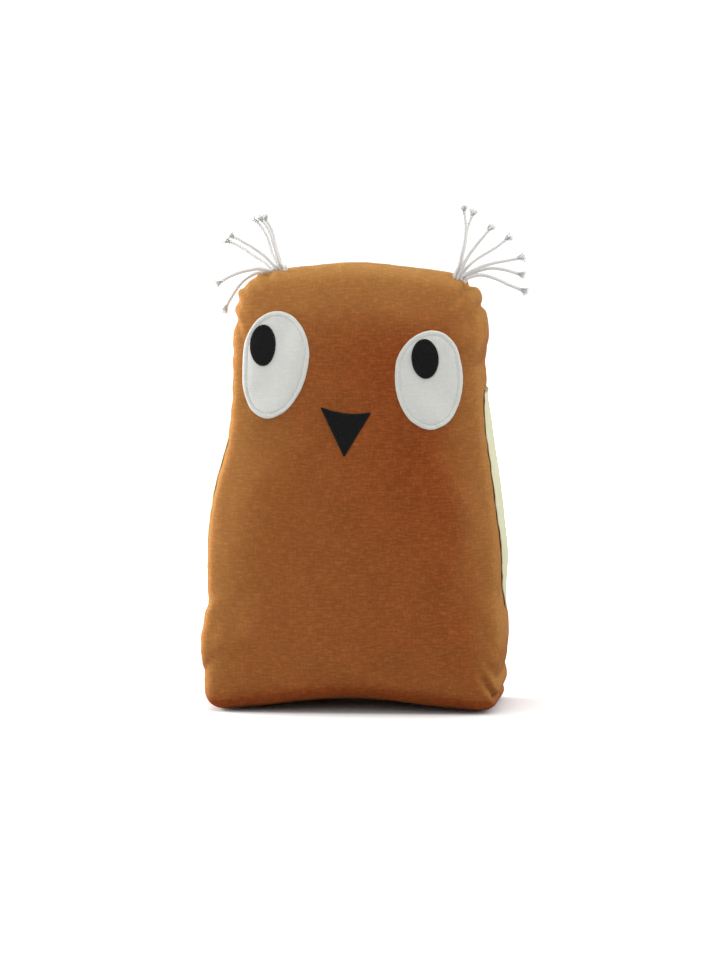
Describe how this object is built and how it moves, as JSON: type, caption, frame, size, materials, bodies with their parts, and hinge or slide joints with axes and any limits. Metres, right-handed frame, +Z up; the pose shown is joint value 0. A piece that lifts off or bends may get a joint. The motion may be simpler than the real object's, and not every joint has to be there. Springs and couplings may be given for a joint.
{
  "type": "plush owl",
  "caption": "Stuffed fabric owl that stands on a flat base, with sewn-on eyes and beak, side wing flaps that lift on their top seams, and ear tufts of frayed cord.",
  "frame": {"origin": "on the floor under the middle of the body, without the ear cords", "axes": "+Z up along the body's longest extent, the face looks along -Y, +X is the owl's own left"},
  "size_m": [0.2217, 0.116, 0.3381],
  "materials": {
    "rust_cloth": "washed linen and cotton plain weave",
    "pale_green_cloth": "fine cotton plain weave",
    "white_patch_cloth": "cotton twill, topstitched",
    "black_patch_cloth": "wool felt",
    "cord_cotton": "twisted cotton cord",
    "fibre_fill": "polyester fibre fill and wadding"
  },
  "bodies": {
    "body": {"stuffing": "fibre_fill", "face_panel": "rust_cloth", "back_panel": "rust_cloth", "side_band": "rust_cloth", "base_panel": "rust_cloth", "left_eye_white": "white_patch_cloth", "left_pupil": "black_patch_cloth", "right_eye_white": "white_patch_cloth", "right_pupil": "black_patch_cloth", "beak": "black_patch_cloth", "left_tuft_cord_1": "cord_cotton", "left_tuft_cord_2": "cord_cotton", "left_tuft_cord_3": "cord_cotton", "left_tuft_cord_4": "cord_cotton", "left_tuft_cord_5": "cord_cotton", "left_tuft_cord_6": "cord_cotton", "left_tuft_cord_7": "cord_cotton", "right_tuft_cord_1": "cord_cotton", "right_tuft_cord_2": "cord_cotton", "right_tuft_cord_3": "cord_cotton", "right_tuft_cord_4": "cord_cotton", "right_tuft_cord_5": "cord_cotton", "right_tuft_cord_6": "cord_cotton", "right_tuft_cord_7": "cord_cotton"},
    "left_wing": {"left_wing_lining": "pale_green_cloth", "left_wing_wadding": "fibre_fill", "left_wing_cloth": "pale_green_cloth"},
    "right_wing": {"right_wing_lining": "pale_green_cloth", "right_wing_wadding": "fibre_fill", "right_wing_cloth": "pale_green_cloth"}
  },
  "joints": [
    {"name": "left_wing_lift", "type": "hinge", "parent": "body", "child": "left_wing", "pos_m": [0.0869, 0, 0.2145], "axis": [0, -1, 0], "range_deg": [0, 100]},
    {"name": "right_wing_lift", "type": "hinge", "parent": "body", "child": "right_wing", "pos_m": [-0.0814, 0, 0.2145], "axis": [0, 1, 0], "range_deg": [0, 100]}
  ]
}
